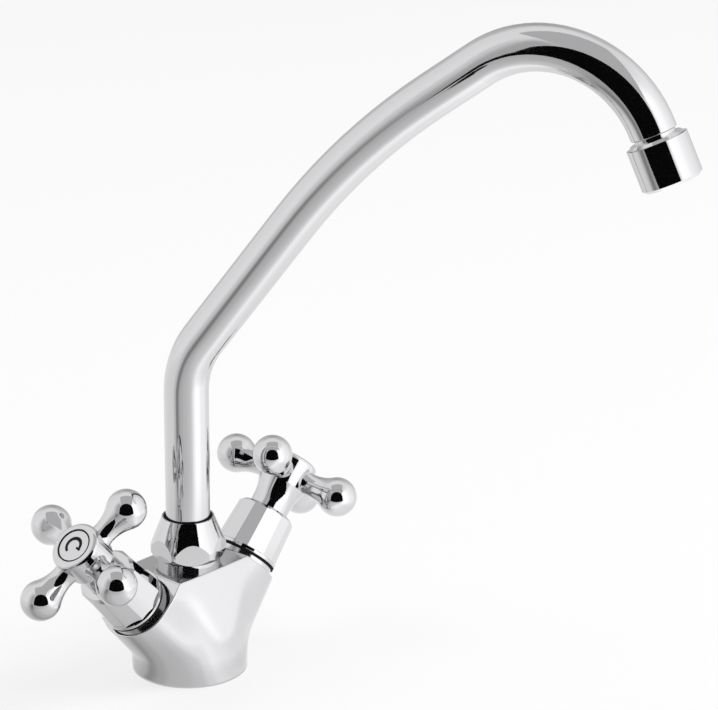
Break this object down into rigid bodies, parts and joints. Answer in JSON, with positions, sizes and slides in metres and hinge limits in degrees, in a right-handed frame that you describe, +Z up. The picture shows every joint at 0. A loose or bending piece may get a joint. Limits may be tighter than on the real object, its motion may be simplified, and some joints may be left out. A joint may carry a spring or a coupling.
{
  "type": "basin mixer tap",
  "caption": "Single-hole basin mixer with cross handles on tilted ports, faceted bonnets and a tall bent swan-neck spout with an aerator.",
  "frame": {"origin": "middle of the round base, on the surface that the tap stands on", "axes": "+Z up, the valves lie along X with the hot one at -X, -Y towards the basin"},
  "size_m": [0.1664, 0.2338, 0.2849],
  "materials": {
    "chrome": "polished",
    "rubber": "matt",
    "plastic": "smooth",
    "brass": "machined",
    "steel": "machined",
    "ceramic": "lapped",
    "fibre": "pressed fibre"
  },
  "bodies": {
    "body": {"body_casting": "chrome", "base_seal": "rubber", "spout_nut": "chrome", "spout_wiper_ring": "rubber", "spout_slide_ring": "plastic", "spout_thrust_washer": "plastic", "left_valve_gasket": "fibre", "left_valve_housing": "brass", "left_fixed_disc": "ceramic", "left_seat_seal": "rubber", "left_bonnet_ring": "rubber", "left_bonnet": "chrome", "right_valve_gasket": "fibre", "right_valve_housing": "brass", "right_fixed_disc": "ceramic", "right_seat_seal": "rubber", "right_bonnet_ring": "rubber", "right_bonnet": "chrome"},
    "spout": {"spout_tube": "chrome", "spout_foot": "brass", "spout_seals": "rubber", "spout_ferrule": "chrome", "aerator_housing": "chrome", "aerator_seal": "rubber", "aerator_insert": "plastic"},
    "left_handle_set": {"left_spindle": "brass", "left_spindle_seals": "rubber", "left_spindle_clip": "steel", "left_moving_disc": "ceramic", "left_handle": "chrome", "left_handle_screw": "steel", "left_index_button": "chrome"},
    "right_handle_set": {"right_spindle": "brass", "right_spindle_seals": "rubber", "right_spindle_clip": "steel", "right_moving_disc": "ceramic", "right_handle": "chrome", "right_handle_screw": "steel", "right_index_button": "chrome"}
  },
  "joints": [
    {"name": "spout_swivel", "type": "hinge", "parent": "body", "child": "spout", "pos_m": [0, 0, 0.05], "axis": [0, 0, 1], "continuous": true},
    {"name": "left_handle_turn", "type": "hinge", "parent": "body", "child": "left_handle_set", "pos_m": [-0.041, 0, 0.04796], "axis": [-0.6833, 0, 0.7302], "range_deg": [0, 90]},
    {"name": "right_handle_turn", "type": "hinge", "parent": "body", "child": "right_handle_set", "pos_m": [0.041, 0, 0.04796], "axis": [0.6833, 0, 0.7302], "range_deg": [-90, 0]}
  ]
}
